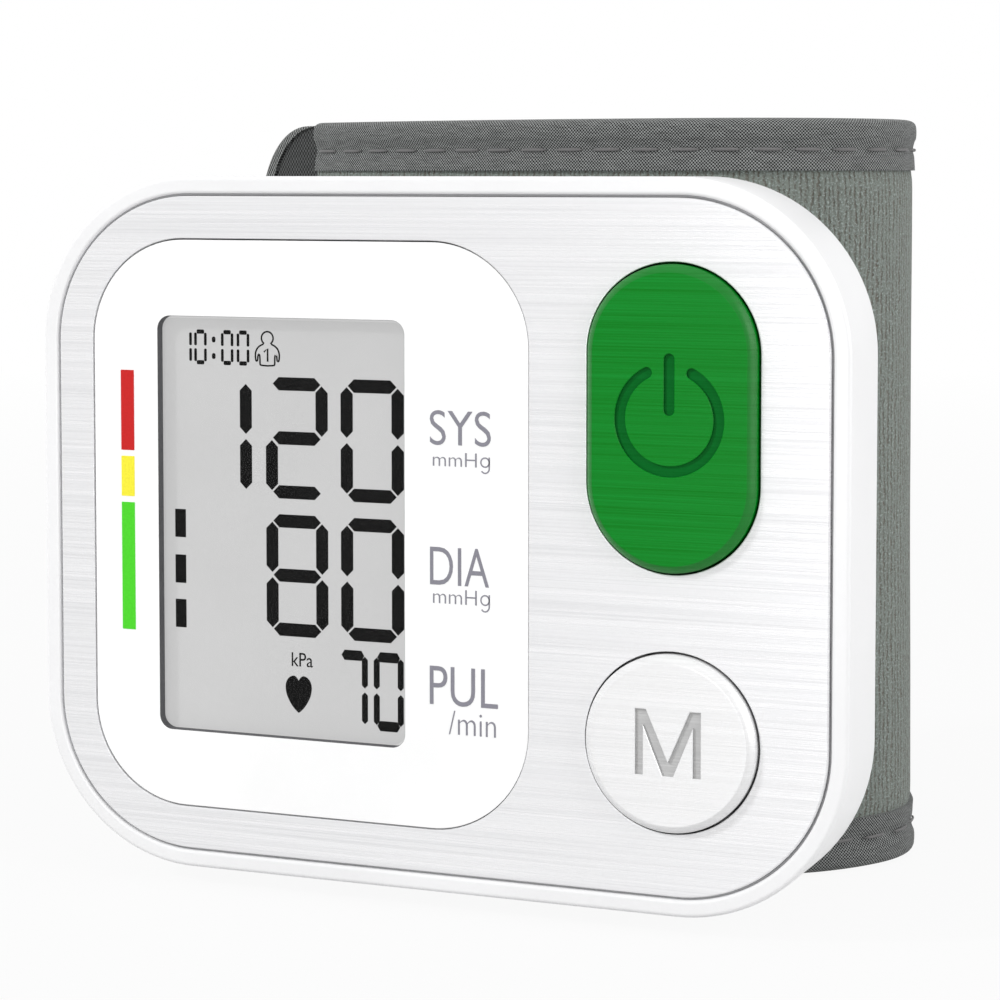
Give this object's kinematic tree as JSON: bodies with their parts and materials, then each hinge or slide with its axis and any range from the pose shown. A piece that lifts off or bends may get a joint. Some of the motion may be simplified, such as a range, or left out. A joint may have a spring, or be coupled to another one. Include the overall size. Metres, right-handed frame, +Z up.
{
  "type": "wrist blood pressure monitor",
  "caption": "Flat rounded case with a display, an oval power key and a round memory key, carried on a padded fabric cuff that springs open to go round a wrist.",
  "frame": {"origin": "on the surface the cuff's lower edge stands on, under the middle of the part's width and length", "axes": "+Z up along the wrist axis of the cuff, the face of the case looks along -Y, +X to the right of the face"},
  "size_m": [0.08, 0.0744, 0.0728],
  "materials": {
    "shell": "satin white moulded plastic",
    "plate": "white fascia, brushed across",
    "panel": "gloss white display surround",
    "window": "clear window",
    "display": "grey reflective liquid crystal cell",
    "green_key": "green key, brushed across",
    "white_key": "white key, brushed across",
    "dark_plastic": "black moulded plastic",
    "pale_plastic": "natural translucent plastic",
    "rubber": "dark soft rubber",
    "board": "green solder mask",
    "steel": "plated steel",
    "motor": "plated motor can",
    "cell": "plain sleeved dry cell",
    "cuff_fabric": "grey green brushed loop fabric",
    "lining": "dark grey smooth lining cloth",
    "binding": "dark grey twill edge tape with a stitched line",
    "hook": "dark hook tape"
  },
  "bodies": {
    "case": {"front_cover": "shell", "rear_cover": "shell", "fascia_plate": "plate", "display_panel": "panel", "display_window": "window", "lcd_cell": "display", "lcd_frame": "dark_plastic", "lcd_contact_strip": "rubber", "circuit_board": "board", "controller_chip": "dark_plastic", "power_switch": "dark_plastic", "memory_switch": "dark_plastic", "case_screw_1": "steel", "case_screw_2": "steel", "case_screw_3": "steel", "case_screw_4": "steel", "board_screw_1": "steel", "board_screw_2": "steel", "battery_tray": "dark_plastic", "battery_cell_1": "cell", "battery_cell_2": "cell", "battery_contact_1": "steel", "battery_contact_2": "steel", "pump_motor": "motor", "pump_head": "dark_plastic", "pressure_sensor": "dark_plastic", "air_tee": "pale_plastic", "exhaust_valve": "dark_plastic", "valve_hose": "rubber", "pump_hose": "rubber", "cuff_connector": "pale_plastic", "cuff_cover": "cuff_fabric", "cuff_stiffener": "pale_plastic", "cuff_bladder": "rubber", "cuff_lining": "lining", "cuff_binding_top": "binding", "cuff_binding_bottom": "binding", "cuff_tab": "binding", "cuff_rivet_1": "steel", "cuff_rivet_2": "steel", "cuff_rivet_3": "steel", "cuff_rivet_4": "steel"},
    "power_key": {"power_button": "green_key", "power_plunger": "rubber"},
    "memory_key": {"memory_button": "white_key", "memory_plunger": "rubber"},
    "door": {"battery_door": "shell", "battery_bridge": "steel"},
    "cuff_arm": {"flap_cover": "cuff_fabric", "flap_stiffener": "pale_plastic", "flap_lining": "lining", "flap_binding_top": "binding", "flap_binding_bottom": "binding", "hook_patch": "hook"}
  },
  "joints": [
    {"name": "power_press", "type": "slide", "parent": "case", "child": "power_key", "axis": [0, 1, 0], "range_m": [0, 0.0008], "stiffness_N_per_m": 250, "springref_m": -0.0005},
    {"name": "memory_press", "type": "slide", "parent": "case", "child": "memory_key", "axis": [0, 1, 0], "range_m": [0, 0.0008], "stiffness_N_per_m": 250, "springref_m": -0.0005},
    {"name": "door_slide", "type": "slide", "parent": "case", "child": "door", "axis": [-1, 0, 0], "range_m": [0, 0.014]},
    {"name": "cuff_open", "type": "hinge", "parent": "case", "child": "cuff_arm", "pos_m": [0.03295, 0.01274, 0], "axis": [0, 0, -1], "range_deg": [-4, 50], "stiffness_Nm_per_rad": 0.08}
  ]
}
